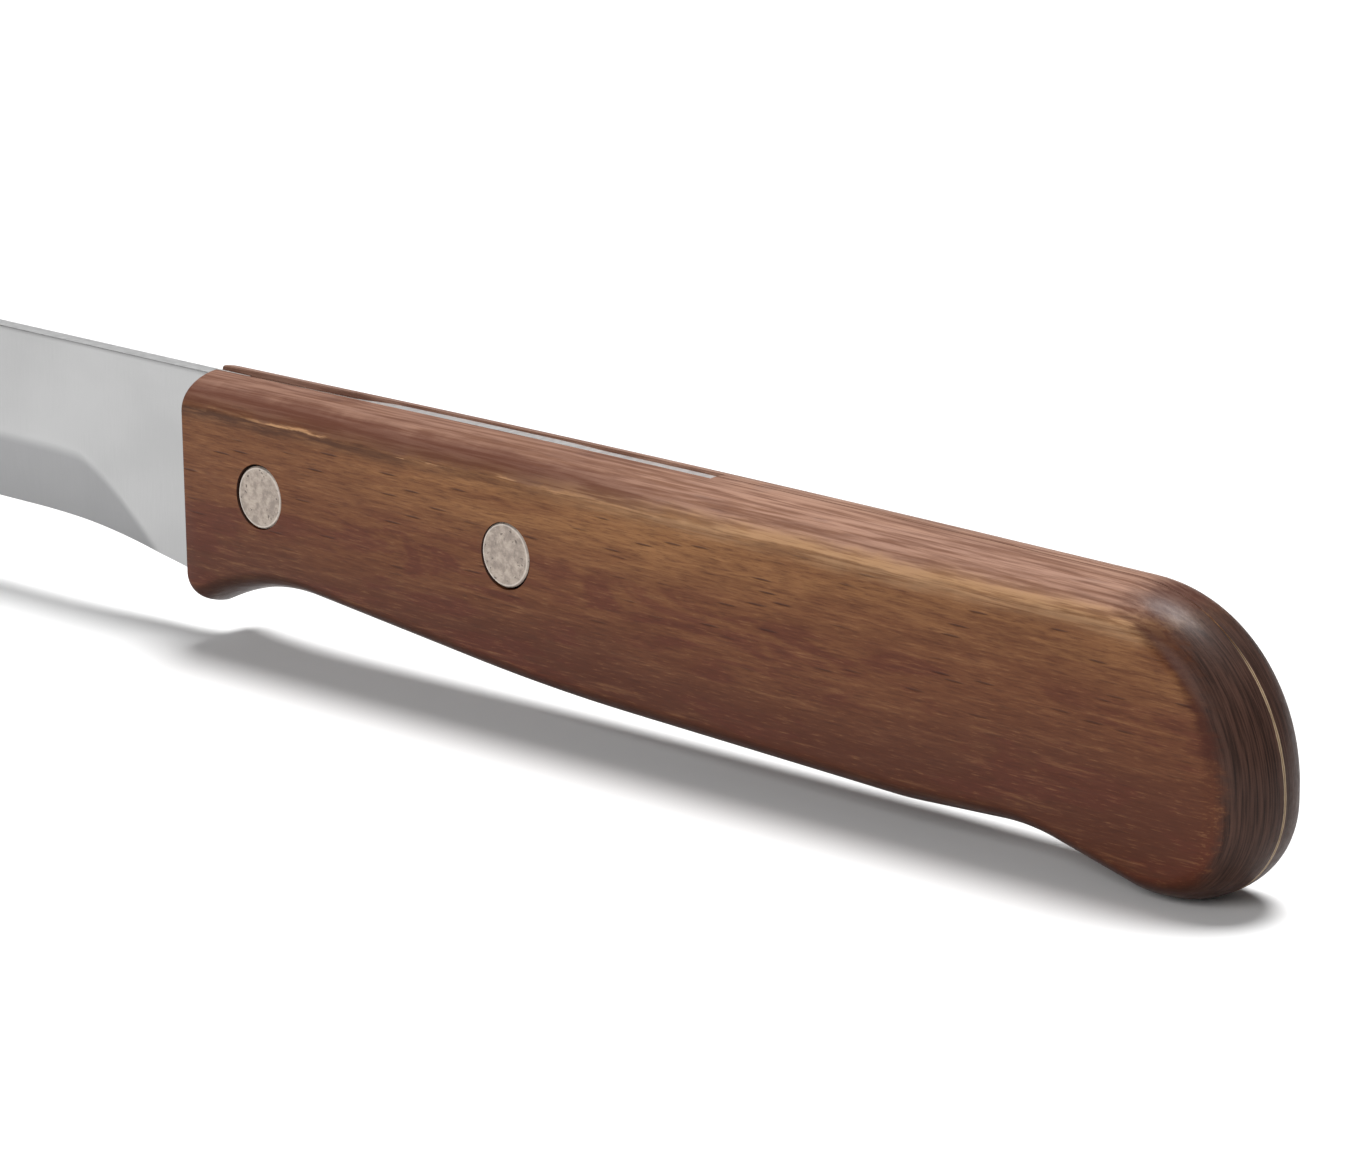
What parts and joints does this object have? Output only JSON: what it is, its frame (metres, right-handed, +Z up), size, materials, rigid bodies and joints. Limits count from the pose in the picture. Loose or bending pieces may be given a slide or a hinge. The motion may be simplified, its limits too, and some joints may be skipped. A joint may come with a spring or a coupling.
{
  "type": "boning knife",
  "caption": "Boning knife with a slim ground blade, a half tang in a slotted two-scale wooden handle, and flush round rivets.",
  "frame": {"origin": "middle of the knife's length and thickness, at the level of the lowest point of the butt's hook", "axes": "+X from the tip towards the butt, +Y towards the knife's left side, +Z up to the spine"},
  "size_m": [0.2696, 0.0104, 0.0265],
  "materials": {
    "blade_steel": "satin ground",
    "handle_wood": "stained beech under clear varnish",
    "adhesive": "cured glue",
    "rivet_metal": "sanded flush"
  },
  "bodies": {
    "root": {"blade": "blade_steel", "right_scale": "handle_wood", "left_scale": "handle_wood", "glue_line": "adhesive", "front_rivet_post": "rivet_metal", "front_rivet_pin": "rivet_metal", "rear_rivet_post": "rivet_metal", "rear_rivet_pin": "rivet_metal"}
  },
  "joints": []
}
